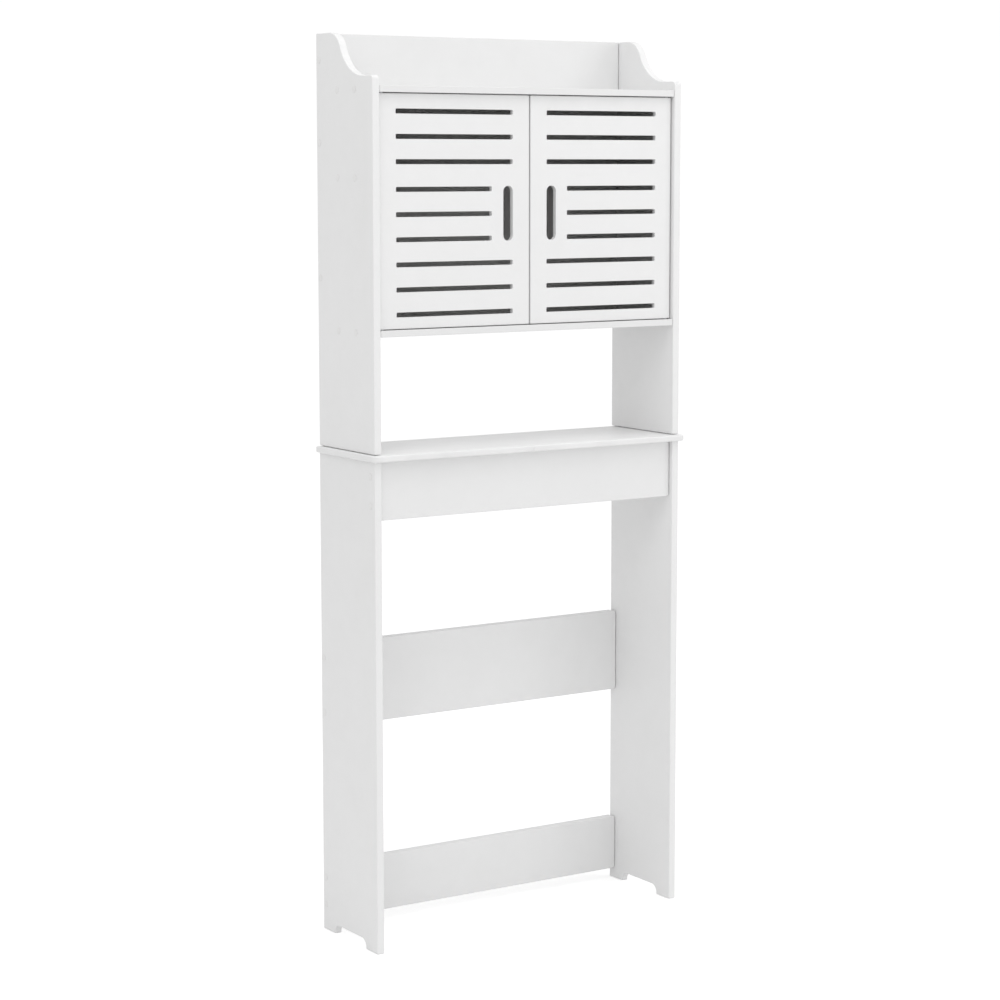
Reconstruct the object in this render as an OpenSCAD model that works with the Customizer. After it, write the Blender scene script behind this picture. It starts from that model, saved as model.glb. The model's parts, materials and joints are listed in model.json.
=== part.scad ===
// Over the toilet storage rack: a stand that straddles the cistern, with a
// counter shelf, an open bay, a two-door cabinet and a railed top tray.
// Millimetres. X runs across the rack, -Y is its front, Z = 0 is the floor.

/* [Overall] */
// Width over the two side panels
rack_w = 690; // [560:5:830]
// Depth of the side panels, front edge to wall
panel_depth = 207; // [170:1:260]
// Height from the floor to the underside of the counter shelf
lower_h = 925; // [770:5:1110]

/* [Boards] */
// Thickness of the side panels
side_t = 15; // [12:1:18]
// Thickness of the counter shelf and the three level cabinet boards
board_t = 12; // [11:1:16]
// Thickness of the three back rails
rail_t = 20; // [16:1:24]
// Thickness of the apron under the counter shelf
apron_t = 15; // [12:1:18]
// Thickness of the board that closes the cabinet's back
back_t = 12; // [10:1:15]
// Setback of that board from the side panels' rear edges
back_inset = 4; // [3:0.5:5]

/* [Rails and apron] */
// Height of the apron
apron_h = 110; // [90:1:135]
// Height of the middle back rail
middle_rail_h = 162; // [130:1:195]
// Height of the middle back rail's lower edge above the floor
middle_rail_z = 398; // [330:1:480]
// Height of the bottom back rail
bottom_rail_h = 109; // [90:1:131]
// Height of the bottom back rail's lower edge above the floor
bottom_rail_z = 22; // [18:1:27]
// Setback of the apron and the doors behind the side panels' front edges
front_recess = 9; // [6:0.5:12]

/* [Feet] */
// Length of each foot along the floor
foot_len = 44; // [36:1:53]
// Height of the cut-out between the feet, and the radius of its corners
foot_gap_h = 18; // [14:1:22]

/* [Counter shelf] */
// How far the counter shelf stands out past each side panel
shelf_side_over = 8.5; // [6:0.5:11]
// How far the counter shelf stands out past the side panels' front edges
shelf_front_over = 12; // [9:0.5:15]
// Radius of the counter shelf's two front corners
shelf_corner_r = 11; // [6:1:14]

/* [Upper section] */
// Clear height of the open bay above the counter shelf
bay_h = 215; // [170:1:260]
// Clear height of the cabinet
cabinet_h = 430; // [415:1:516]
// Height of the inner shelf's underside above the cabinet floor
inner_shelf_z = 270; // [225:1:300]
// Gap between the back of the doors and the inner shelf's front edge
inner_shelf_gap = 9; // [7:1:20]
// Height of the side panels' low front lip above the top board
lip_h = 18; // [14:1:22]

/* [Side crests] */
// Rise of the side panels' crest above the front lip
crest_h = 81; // [68:1:97]
// Radius of the crest's upper, convex curve
crest_upper_r = 45; // [40:1:54]
// Radius of the crest's lower, hollow curve
crest_lower_r = 90; // [80:1:108]
// Length of the flat lip in front of the crest
crest_front = 34; // [28:1:41]
// Radius of the side panels' front top corner
lip_corner_r = 8; // [4:1:12]

/* [Doors] */
// Thickness of the doors
door_t = 10; // [9:1:12]
// Gap between a door and its side panel
door_side_gap = 2.5; // [2.5:0.5:4]
// Gap between the two doors
door_mid_gap = 3; // [2.5:0.5:4]
// Gap between the doors and the top board
door_top_gap = 1.6; // [1.5:0.1:2.5]
// Gap between the doors and the cabinet floor
door_bottom_gap = 1.6; // [1.5:0.1:2.5]
// Setback of the pivot pins from a door's outer edge
pivot_inset = 8; // [7:0.5:9]

/* [Door slots] */
// Number of vent slots in each door
slot_count = 9; // [9:1:9]
// Height of a vent slot
slot_h = 9; // [7:0.5:11]
// Radius of a vent slot's corners
slot_corner_r = 2; // [1:0.5:3]
// Spacing of the vent slots
slot_pitch = 45.6; // [38:0.1:46]
// Extra spacing between the third and fourth slots
slot_group_gap = 4.4; // [0:0.1:5.3]
// Distance from a door's top edge to its first slot
slot_top_margin = 27.4; // [23:0.1:33]
// Distance from a door's side edges to its long slots
slot_side_margin = 36.5; // [30:0.5:44]
// First short slot, counted from the top
short_first = 4; // [4:1:4]
// Last short slot, counted from the top
short_last = 6; // [6:1:6]
// Width of the finger slot
grip_w = 21; // [18:0.5:25]
// Height of the finger slot
grip_h = 102; // [85:1:108]
// Bridge between the short slots and the finger slot
grip_bridge = 25.5; // [21:0.5:30]

/* [Assembly screws] */
// Length of an assembly screw
screw_len = 50; // [42:1:56]
// Radius of its head
screw_head_r = 5; // [4.5:0.1:5.5]
// Height of its head
screw_head_h = 3; // [2.5:0.1:3.5]
// Radius of its shank
screw_shank_r = 3.5; // [3:0.1:4]
// Radius of its thread
screw_thread_r = 2.5; // [2:0.1:3]
// Across the flats of its hexagon socket
screw_socket = 4; // [3:0.5:5]
// Depth of its hexagon socket
socket_depth = 2.2; // [2.2:0.1:2.4]
// How far its head lies below the surface
screw_sink = 0.5; // [0.3:0.1:1]
// Radius of the cap that covers its head
cap_r = 6.5; // [6:0.1:7.5]
// Height of that cap above the panel
cap_h = 0.7; // [0.4:0.1:1]
// Distance of the front screws of each level board from the panel's front edge
screw_front = 66; // [54:1:80]
// Distance of the rear screws of each level board from the panel's front edge
screw_rear = 130; // [110:1:140]
// Distance of the rail and apron screws from a rail's upper and lower edges
rail_screw_edge = 28; // [24:1:33]
// Distance of the cabinet back's screws from its upper and lower edges
back_screw_edge = 90; // [75:1:108]
// Distance of the screws under the counter shelf from the panel's edges
shelf_screw_edge = 35; // [30:1:42]

/* [Dowels] */
// Radius of a wooden dowel
dowel_r = 4; // [3:0.5:4]
// Length of a wooden dowel
dowel_len = 30; // [25:1:36]
// How far a dowel stands into a level board
dowel_in_board = 8; // [6:0.5:8]
// Distance of the counter shelf's dowels from the panel's edges
shelf_dowel_edge = 75; // [62:1:85]
// Distance of the top rail's dowels from the middle of the rack
rail_dowel_x = 210; // [175:1:230]

/* [Door pivots] */
// Radius of a pivot pin
pin_r = 2.5; // [2:0.1:3]
// Length of a pivot pin inside the door
pin_in_door = 24; // [18:1:25]
// Length of a pivot pin inside its bush
pin_in_bush = 8; // [6:0.5:8]
// Radius of a pivot pin's collar
collar_r = 4; // [3.6:0.1:4.5]
// Thickness of a pivot pin's collar
collar_t = 1.1; // [0.9:0.1:1.3]
// Outer radius of a pivot bush
bush_r = 4.5; // [4:0.1:5]
// Depth of a pivot bush in its board
bush_depth = 9; // [8:0.5:9.5]
// Radius of a pivot bush's flange
bush_flange_r = 6; // [5.5:0.1:7]
// Thickness of a pivot bush's flange
bush_flange_t = 1.2; // [1:0.1:1.3]

/* [Door catches] */
// Width of a magnetic catch
catch_w = 46; // [40:1:55]
// Depth of a magnetic catch, front to back
catch_d = 14; // [12:1:16]
// Height of a magnetic catch
catch_hgt = 13; // [11:1:15]
// Thickness of a catch's screw ears
catch_ear_t = 3; // [2.5:0.1:4]
// Width of the magnet block
magnet_w = 20; // [16:1:22]
// Depth of the magnet block, front to back
magnet_d = 9; // [7:0.5:10]
// Height of the magnet block
magnet_hgt = 8; // [6:0.5:8.5]
// Distance from the middle of a catch to the door's inner edge
catch_from_edge = 45; // [38:1:54]
// Air gap between a magnet and its strike plate
catch_air = 0.3; // [0.2:0.1:0.5]
// Thickness of a strike plate
strike_t = 1.2; // [1:0.1:1.5]
// Width of a strike plate
strike_w = 26; // [22:1:30]
// Length of a strike plate's tab below the catch
strike_tab = 11; // [10:0.5:12]

/* [Small screws] */
// Radius of a small screw's shank
small_r = 1.5; // [1.2:0.1:1.8]
// Radius of a small screw's head
small_head_r = 3; // [2.6:0.1:3.4]
// Height of a small screw's head
small_head_h = 1.8; // [1.5:0.1:2.2]
// Length of a small screw below its head
small_len = 10; // [9:0.5:11]
// Length of a strike plate's screw below its head
strike_screw_len = 7; // [6:0.5:8]

/* [Corner brackets] */
// Length of each leg of a corner bracket
bracket_leg = 22; // [19:1:26]
// Width of a corner bracket
bracket_w = 16; // [14:1:20]
// Thickness of a corner bracket's legs
bracket_t = 2; // [1.6:0.1:2.4]
// Distance of the apron's brackets from the middle of the rack
bracket_x = 180; // [150:1:215]
// Distance of the side panels' brackets from the panel's rear edge
bracket_rear = 50; // [42:1:60]

/* [Wall fixing] */
// Spacing of the two wall holes in the cabinet back
wall_hole_span = 400; // [320:1:440]
// Radius of a wall hole
wall_hole_r = 3; // [2.5:0.1:3.5]
// Distance of the wall holes below the top board
wall_hole_drop = 60; // [50:1:72]

/* [Fits] */
// Radial play of screws, dowels, pins and bushes in their holes
play = 0.05; // [0.03:0.01:0.08]

/* [Hidden] */
$fn = 48;
// A cut runs this far past the face that it opens
over = 1;

// Places across the rack and from front to back
side_x = rack_w / 2;
inner_x = side_x - side_t;
front_y = (shelf_front_over - panel_depth) / 2;
rear_y = front_y + panel_depth;
rail_y = rear_y - rail_t;
rail_mid_y = rear_y - rail_t / 2;
back_y = rear_y - back_inset - back_t;
back_mid_y = back_y + back_t / 2;
apron_y = front_y + front_recess;
apron_mid_y = apron_y + apron_t / 2;
door_y = front_y + front_recess;
door_back_y = door_y + door_t;

// Heights, from the floor up
apron_z = lower_h - apron_h;
counter_z = lower_h + board_t;
floor_board_z = counter_z + bay_h;
cabinet_z = floor_board_z + board_t;
shelf_z = cabinet_z + inner_shelf_z;
top_board_z = cabinet_z + cabinet_h;
tray_z = top_board_z + board_t;
lip_z = tray_z + lip_h;
crest_z = lip_z + crest_h;
top_rail_h = crest_z - tray_z;
upper_h = crest_z - counter_z;

// Doors and their pivots
door_w = inner_x - door_side_gap - door_mid_gap / 2;
door_z = cabinet_z + door_bottom_gap;
door_h = cabinet_h - door_bottom_gap - door_top_gap;
pivot_x = inner_x - door_side_gap - pivot_inset;
pivot_y = door_y + door_t / 2;
slot_long = door_w - 2 * slot_side_margin;
slot_short = slot_long - grip_w - grip_bridge;
catch_x = door_mid_gap / 2 + catch_from_edge;
catch_y = door_back_y + strike_t + catch_air;
magnet_z = top_board_z - catch_hgt / 2 - catch_ear_t / 2;
strike_bottom_z = top_board_z - catch_hgt - strike_tab;
strike_h = magnet_z + magnet_hgt / 2 - strike_bottom_z;

// The crest's two arcs meet on one tangent at this angle from the level
crest_angle = acos(1 - crest_h / (crest_upper_r + crest_lower_r));
crest_top_y = crest_front + (crest_upper_r + crest_lower_r) * sin(crest_angle);

// Heights of a rail's two screws
function rail_screw_z(z, h) = [z + rail_screw_edge, z + h - rail_screw_edge];

// Screw places as [Y, Z] on the side panels
lower_points = concat(
    [for (z = rail_screw_z(apron_z, apron_h)) [apron_mid_y, z]],
    [for (z = rail_screw_z(middle_rail_z, middle_rail_h)) [rail_mid_y, z]],
    [for (z = rail_screw_z(bottom_rail_z, bottom_rail_h)) [rail_mid_y, z]]
);
board_points = [
    for (z = [floor_board_z, shelf_z, top_board_z], y = [screw_front, screw_rear])
        [front_y + y, z + board_t / 2]
];
back_points = [
    for (z = [cabinet_z + back_screw_edge, top_board_z - back_screw_edge]) [back_mid_y, z]
];
top_rail_points = [[rail_mid_y, tray_z + top_rail_h / 2]];
upper_points = concat(board_points, back_points, top_rail_points);

// Points of an arc about [cx, cy] from angle a0 to angle a1
function arc(cx, cy, r, a0, a1, n = 24) =
    [for (i = [0:n]) let (a = a0 + (a1 - a0) * i / n) [cx + r * cos(a), cy + r * sin(a)]];

// ---- placing and cutting helpers ----

// Puts children on each point of a side panel, local +Z into the wood
module on_side(points, side) {
    for (p = points)
        translate([side * side_x, p[0], p[1]])
            rotate([0, -side * 90, 0])
                children();
}

// Puts children under the counter shelf, below the upper side panels, local +Z up
module under_shelf() {
    for (side = [-1, 1], y = [front_y + shelf_screw_edge, rear_y - shelf_screw_edge])
        translate([side * (side_x - side_t / 2), y, lower_h])
            children();
}

// Puts children where the dowels of the counter shelf start, local +Z up
module at_shelf_dowels() {
    for (side = [-1, 1], y = [front_y + shelf_dowel_edge, rear_y - shelf_dowel_edge])
        translate([side * (side_x - side_t / 2), y, lower_h + dowel_in_board - dowel_len])
            children();
}

// Puts children where the dowels of the top rail start, local +Z up
module at_rail_dowels() {
    for (side = [-1, 1])
        translate([side * rail_dowel_x, rail_mid_y, tray_z - dowel_in_board])
            children();
}

// Puts children on the four pivots; local +Z leaves the door into the board
module at_pivots(sides = [-1, 1]) {
    for (side = sides) {
        translate([side * pivot_x, pivot_y, door_z + door_h])
            children();
        translate([side * pivot_x, pivot_y, door_z])
            mirror([0, 0, 1])
                children();
    }
}

// The way an assembly screw takes through the boards, with play round it
module screw_way() {
    translate([0, 0, -over])
        cylinder(r = screw_head_r + play, h = over + screw_sink + screw_head_h);
    cylinder(r = screw_shank_r + play, h = side_t);
    cylinder(r = screw_thread_r + play, h = screw_len + screw_sink + over);
}

// An assembly screw: head, shank and thread turned in one, with a hexagon socket
module assembly_screw() {
    tip = screw_thread_r / 2;
    color("silver")
        translate([0, 0, screw_sink])
            difference() {
                rotate_extrude()
                    polygon([
                        [0, 0],
                        [screw_head_r, 0],
                        [screw_head_r, screw_head_h],
                        [screw_shank_r, screw_head_h],
                        [screw_shank_r, side_t - screw_sink],
                        [screw_thread_r, side_t - screw_sink],
                        [screw_thread_r, screw_len - tip],
                        [tip, screw_len],
                        [0, screw_len]
                    ]);
                translate([0, 0, -over])
                    cylinder(d = screw_socket / cos(30), h = socket_depth + over, $fn = 6);
            }
}

// A cover cap that plugs into a screw's socket, its disc on the panel
module cover_cap() {
    stub_r = screw_socket / 2 - play;
    stub_len = screw_sink + socket_depth - play;
    color("white") {
        translate([0, 0, -cap_h])
            cylinder(r = cap_r, h = cap_h);
        translate([0, 0, -cap_h / 2])
            cylinder(r = stub_r, h = cap_h / 2 + stub_len);
    }
}

// A small screw with its head's seat at Z = 0 and its shank along +Z
module small_screw(len) {
    tip = small_r / 2;
    color("silver")
        difference() {
            rotate_extrude()
                polygon([
                    [0, -small_head_h],
                    [small_head_r * 0.6, -small_head_h],
                    [small_head_r, -small_head_h * 0.4],
                    [small_head_r, 0],
                    [small_r, 0],
                    [small_r, len - tip],
                    [tip, len],
                    [0, len]
                ]);
            for (turn = [0, 90])
                rotate([0, 0, turn])
                    translate([-small_head_r * 0.6, -small_r * 0.2, -small_head_h - over])
                        cube([small_head_r * 1.2, small_r * 0.4, over + small_head_h * 0.6]);
        }
}

// The hole for a small screw
module small_way(len) {
    translate([0, 0, -over])
        cylinder(r = small_r + play, h = len + 2 * over);
}

// ---- lower section ----

// A lower side panel with its foot cut-out, on the side given
module lower_side_panel(side) {
    x0 = side < 0 ? -side_x : inner_x;
    gap_r = foot_gap_h;
    color("white")
        difference() {
            translate([x0, front_y, 0])
                cube([side_t, panel_depth, lower_h]);
            for (y = [front_y + foot_len + gap_r, rear_y - foot_len - gap_r])
                translate([x0 - over, y, 0])
                    rotate([0, 90, 0])
                        cylinder(r = gap_r, h = side_t + 2 * over, $fn = 96);
            translate([x0 - over, front_y + foot_len + gap_r, -over])
                cube([side_t + 2 * over, panel_depth - 2 * (foot_len + gap_r), foot_gap_h + over]);
            on_side(lower_points, side)
                screw_way();
            at_shelf_dowels()
                dowel_hole();
            at_side_bracket_screws(side)
                small_way(small_len);
        }
}

module lower_left_side_panel() {
    lower_side_panel(-1);
}

module lower_right_side_panel() {
    lower_side_panel(1);
}

// A board between the side panels, drilled at both ends for its screws
module cross_board(y, z, depth, height, points) {
    color("white")
        difference() {
            translate([-inner_x, y, z])
                cube([2 * inner_x, depth, height]);
            for (side = [-1, 1])
                on_side(points, side)
                    screw_way();
        }
}

module bottom_back_rail() {
    cross_board(rail_y, bottom_rail_z, rail_t, bottom_rail_h, lower_points);
}

module middle_back_rail() {
    cross_board(rail_y, middle_rail_z, rail_t, middle_rail_h, lower_points);
}

module front_apron() {
    difference() {
        cross_board(apron_y, apron_z, apron_t, apron_h, lower_points);
        at_apron_bracket_screws()
            small_way(small_len);
    }
}

// The counter shelf, its two front corners rounded
module counter_shelf() {
    half_w = side_x + shelf_side_over;
    y0 = front_y - shelf_front_over;
    r = shelf_corner_r;
    color("white")
        difference() {
            translate([0, 0, lower_h])
                linear_extrude(board_t)
                    polygon(concat(
                        [[half_w, rear_y], [-half_w, rear_y]],
                        arc(r - half_w, y0 + r, r, 180, 270, 12),
                        arc(half_w - r, y0 + r, r, 270, 360, 12)
                    ));
            under_shelf()
                screw_way();
            at_shelf_dowels()
                dowel_hole();
            at_shelf_bracket_screws()
                small_way(small_len);
        }
}

// ---- upper section ----

// Side view of an upper side panel as [distance from its front edge, height]
function crest_outline() = concat(
    [[panel_depth, 0], [panel_depth, upper_h]],
    arc(crest_top_y, upper_h - crest_upper_r, crest_upper_r, 90, 90 + crest_angle),
    arc(crest_front, upper_h - crest_h + crest_lower_r, crest_lower_r, crest_angle - 90, -90),
    arc(lip_corner_r, upper_h - crest_h - lip_corner_r, lip_corner_r, 90, 180, 8),
    [[0, 0]]
);

// An upper side panel, on the side given
module upper_side_panel(side) {
    x0 = side < 0 ? -side_x : inner_x;
    color("white")
        difference() {
            translate([x0, front_y, counter_z])
                rotate([90, 0, 90])
                    linear_extrude(side_t)
                        polygon(crest_outline());
            on_side(upper_points, side)
                screw_way();
            under_shelf()
                screw_way();
        }
}

module upper_left_side_panel() {
    upper_side_panel(-1);
}

module upper_right_side_panel() {
    upper_side_panel(1);
}

module cabinet_floor_board() {
    difference() {
        cross_board(front_y, floor_board_z, panel_depth, board_t, board_points);
        at_pivots()
            bush_hole(door_bottom_gap);
    }
}

module cabinet_inner_shelf() {
    y = door_back_y + inner_shelf_gap;
    cross_board(y, shelf_z, back_y - y, board_t, board_points);
}

module cabinet_top_board() {
    difference() {
        cross_board(front_y, top_board_z, panel_depth, board_t, board_points);
        at_pivots()
            bush_hole(door_top_gap);
        at_catch_screws()
            small_way(small_len);
        at_rail_dowels()
            dowel_hole();
    }
}

// The board that closes the cabinet's back, with two holes for wall screws
module cabinet_back_board() {
    difference() {
        cross_board(back_y, cabinet_z, back_t, cabinet_h, back_points);
        for (side = [-1, 1])
            translate([side * wall_hole_span / 2, back_y - over, top_board_z - wall_hole_drop])
                rotate([-90, 0, 0])
                    cylinder(r = wall_hole_r, h = back_t + 2 * over);
    }
}

module top_back_rail() {
    difference() {
        cross_board(rail_y, tray_z, rail_t, top_rail_h, top_rail_points);
        at_rail_dowels()
            dowel_hole();
    }
}

// ---- doors ----

// A slot through the door with rounded corners, its lower outer corner at the origin
module slot_cut(w, h, r) {
    translate([0, -over, r])
        cube([w, door_t + 2 * over, h - 2 * r]);
    translate([r, -over, 0])
        cube([w - 2 * r, door_t + 2 * over, h]);
    for (x = [r, w - r], z = [r, h - r])
        translate([x, -over, z])
            rotate([-90, 0, 0])
                cylinder(r = r, h = door_t + 2 * over);
}

// Height of slot i's lower edge above the door's lower edge, counted from the top
function slot_z(i) =
    door_h - slot_top_margin - slot_h - (i - 1) * slot_pitch - (i < short_first ? 0 : slot_group_gap);
function is_short(i) = i >= short_first && i <= short_last;
grip_z = (slot_z(short_first) + slot_z(short_last) + slot_h - grip_h) / 2;

// The left door in its own frame: hung edge at X = 0, free edge at X = door_w
module door_panel() {
    difference() {
        cube([door_w, door_t, door_h]);
        for (i = [1:slot_count])
            translate([slot_side_margin, 0, slot_z(i)])
                slot_cut(is_short(i) ? slot_short : slot_long, slot_h, slot_corner_r);
        translate([slot_side_margin + slot_long - grip_w, 0, grip_z])
            grip_cut();
    }
}

// The finger slot: a straight slot with half-round ends
module grip_cut() {
    r = grip_w / 2;
    translate([0, -over, r])
        cube([grip_w, door_t + 2 * over, grip_h - grip_w]);
    for (z = [r, grip_h - r])
        translate([r, -over, z])
            rotate([-90, 0, 0])
                cylinder(r = r, h = door_t + 2 * over, $fn = 64);
}

// A door in its place, on the side given, drilled for its pivots and strike screw
module placed_door(side) {
    color("white")
        difference() {
            mirror([side > 0 ? 1 : 0, 0, 0])
                translate([door_side_gap - inner_x, door_y, door_z])
                    door_panel();
            at_pivots([side])
                translate([0, 0, -pin_in_door - over])
                    cylinder(r = pin_r + play, h = pin_in_door + 2 * over);
            at_strike(side)
                small_way(strike_screw_len - over);
        }
}

module left_door() {
    placed_door(-1);
}

module right_door() {
    placed_door(1);
}

// Pivot pins of one door: a shank in the door, a collar and a journal in the bush
module pivot_pins(side) {
    color("silver")
        at_pivots([side])
            rotate_extrude()
                polygon([
                    [0, -pin_in_door],
                    [pin_r, -pin_in_door],
                    [pin_r, 0],
                    [collar_r, 0],
                    [collar_r, collar_t],
                    [pin_r, collar_t],
                    [pin_r, collar_t + pin_in_bush],
                    [0, collar_t + pin_in_bush]
                ]);
}

module left_pivot_pins() {
    pivot_pins(-1);
}

module right_pivot_pins() {
    pivot_pins(1);
}

// The stepped hole for a pivot bush, in a board that lies a gap away from the door
module bush_hole(gap) {
    translate([0, 0, gap - over]) {
        cylinder(r = bush_r + play, h = bush_depth + over);
        cylinder(r = bush_flange_r + play, h = bush_flange_t + over);
    }
}

// A flanged bush, its flange flush in a board that lies a gap away from the door
module bush(gap) {
    translate([0, 0, gap])
        difference() {
            union() {
                cylinder(r = bush_flange_r, h = bush_flange_t);
                cylinder(r = bush_r, h = bush_depth);
            }
            translate([0, 0, -over])
                cylinder(r = pin_r + play, h = bush_depth + 2 * over);
        }
}

module pivot_bushes() {
    color("ivory")
        for (side = [-1, 1]) {
            translate([side * pivot_x, pivot_y, door_z + door_h])
                bush(door_top_gap);
            translate([side * pivot_x, pivot_y, door_z])
                mirror([0, 0, 1])
                    bush(door_bottom_gap);
        }
}

// ---- screws, caps and dowels ----

module lower_side_screws() {
    for (side = [-1, 1])
        on_side(lower_points, side)
            assembly_screw();
}

module upper_side_screws() {
    for (side = [-1, 1])
        on_side(upper_points, side)
            assembly_screw();
}

module shelf_screws() {
    under_shelf()
        assembly_screw();
}

module screw_cover_caps() {
    for (side = [-1, 1])
        on_side(concat(lower_points, upper_points), side)
            cover_cap();
}

// The hole for a dowel, a little longer than the dowel at both ends
module dowel_hole() {
    translate([0, 0, -over])
        cylinder(r = dowel_r + play, h = dowel_len + 2 * over);
}

module wooden_dowels() {
    color("burlywood") {
        at_shelf_dowels()
            cylinder(r = dowel_r, h = dowel_len);
        at_rail_dowels()
            cylinder(r = dowel_r, h = dowel_len);
    }
}

// ---- corner brackets under the counter shelf ----

// A corner bracket: one leg flat under Z = 0, the other down the face X = 0
module bracket() {
    difference() {
        union() {
            translate([0, -bracket_w / 2, -bracket_t])
                cube([bracket_leg, bracket_w, bracket_t]);
            translate([0, -bracket_w / 2, -bracket_leg])
                cube([bracket_t, bracket_w, bracket_leg]);
        }
        bracket_holes()
            translate([0, 0, -bracket_t])
                cylinder(r = small_r + play, h = 2 * bracket_t, center = true);
    }
}

// Puts children on a bracket's two screw holes, local +Z from the head to the tip
module bracket_holes(legs = [0, 1]) {
    hole = (bracket_leg + bracket_t) / 2;
    for (leg = legs)
        if (leg == 0)
            translate([hole, 0, 0])
                children();
        else
            translate([0, 0, -hole])
                rotate([0, -90, 0])
                    children();
}

// Puts children in the frames of the two brackets behind the apron
module at_apron_brackets() {
    for (side = [-1, 1])
        translate([side * bracket_x, apron_y + apron_t, lower_h])
            rotate([0, 0, 90])
                children();
}

// Puts children in the frame of a side panel's bracket
module at_side_bracket(side) {
    translate([side * inner_x, rear_y - bracket_rear, lower_h])
        rotate([0, 0, side > 0 ? 180 : 0])
            children();
}

// Screw places, with the head's seat at local Z = 0
module seat() {
    translate([0, 0, -bracket_t])
        children();
}

module at_apron_bracket_screws() {
    at_apron_brackets()
        bracket_holes([1])
            seat()
                children();
}

module at_side_bracket_screws(side) {
    at_side_bracket(side)
        bracket_holes([1])
            seat()
                children();
}

module at_shelf_bracket_screws() {
    at_apron_brackets()
        bracket_holes([0])
            seat()
                children();
    for (side = [-1, 1])
        at_side_bracket(side)
            bracket_holes([0])
                seat()
                    children();
}

module corner_brackets() {
    color("lightgray") {
        at_apron_brackets()
            bracket();
        for (side = [-1, 1])
            at_side_bracket(side)
                bracket();
    }
}

module bracket_screws() {
    at_apron_bracket_screws()
        small_screw(small_len);
    for (side = [-1, 1])
        at_side_bracket_screws(side)
            small_screw(small_len);
    at_shelf_bracket_screws()
        small_screw(small_len);
}

// ---- magnetic catches ----

// Puts children in a catch's frame: its top on the top board, its front at Y = 0
module at_catches() {
    for (side = [-1, 1])
        translate([side * catch_x, catch_y, top_board_z])
            children();
}

// The block that holds the magnet is this wide; the ears take the rest
catch_block_w = magnet_w + 6;
catch_ear_x = (catch_w + catch_block_w) / 4;

module at_catch_screws() {
    at_catches()
        for (end = [-1, 1])
            translate([end * catch_ear_x, catch_d / 2, -catch_ear_t])
                children();
}

module catch_housings() {
    color("whitesmoke")
        difference() {
            at_catches() {
                translate([-catch_block_w / 2, 0, -catch_hgt])
                    cube([catch_block_w, catch_d, catch_hgt]);
                translate([-catch_w / 2, 0, -catch_ear_t])
                    cube([catch_w, catch_d, catch_ear_t]);
            }
            at_catches()
                translate([-magnet_w / 2, -over, magnet_z - top_board_z - magnet_hgt / 2])
                    cube([magnet_w, magnet_d + over, magnet_hgt]);
            at_catch_screws()
                small_way(small_len);
        }
}

module catch_magnets() {
    color("dimgray")
        at_catches()
            translate([-magnet_w / 2, 0, magnet_z - top_board_z - magnet_hgt / 2])
                cube([magnet_w, magnet_d, magnet_hgt]);
}

module catch_screws() {
    at_catch_screws()
        small_screw(small_len);
}

// Puts children on a strike plate's screw hole: the plate's face at Z = 0, local +Z into
// the door and local +Y up
module at_strike(side) {
    translate([side * catch_x, catch_y - catch_air, strike_bottom_z + strike_tab / 2])
        rotate([90, 0, 0])
            children();
}

// A flat steel plate on the door's back: it faces the magnet, and a tab below the catch
// takes its screw
module strike_plate(side) {
    color("silver")
        at_strike(side)
            difference() {
                translate([-strike_w / 2, -strike_tab / 2, 0])
                    cube([strike_w, strike_h, strike_t]);
                translate([0, 0, -over])
                    cylinder(r = small_r + play, h = strike_t + 2 * over);
            }
}

module left_strike_plate() {
    strike_plate(-1);
}

module right_strike_plate() {
    strike_plate(1);
}

module left_strike_screw() {
    at_strike(-1)
        small_screw(strike_screw_len);
}

module right_strike_screw() {
    at_strike(1)
        small_screw(strike_screw_len);
}

lower_left_side_panel();
lower_right_side_panel();
bottom_back_rail();
middle_back_rail();
front_apron();
counter_shelf();
upper_left_side_panel();
upper_right_side_panel();
cabinet_floor_board();
cabinet_inner_shelf();
cabinet_top_board();
cabinet_back_board();
top_back_rail();
left_door();
right_door();
left_pivot_pins();
right_pivot_pins();
pivot_bushes();
lower_side_screws();
upper_side_screws();
shelf_screws();
screw_cover_caps();
wooden_dowels();
corner_brackets();
bracket_screws();
catch_housings();
catch_magnets();
catch_screws();
left_strike_plate();
right_strike_plate();
left_strike_screw();
right_strike_screw();
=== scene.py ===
"""White lacquered rack that stands over the toilet: counter shelf, open bay, two-door cabinet
with vent slots, and a railed tray on top. Metres, Z up, the rack's front towards -Y."""
import json
import math

import bpy
import numpy as np
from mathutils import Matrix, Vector
from mathutils.geometry import tessellate_polygon

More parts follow.
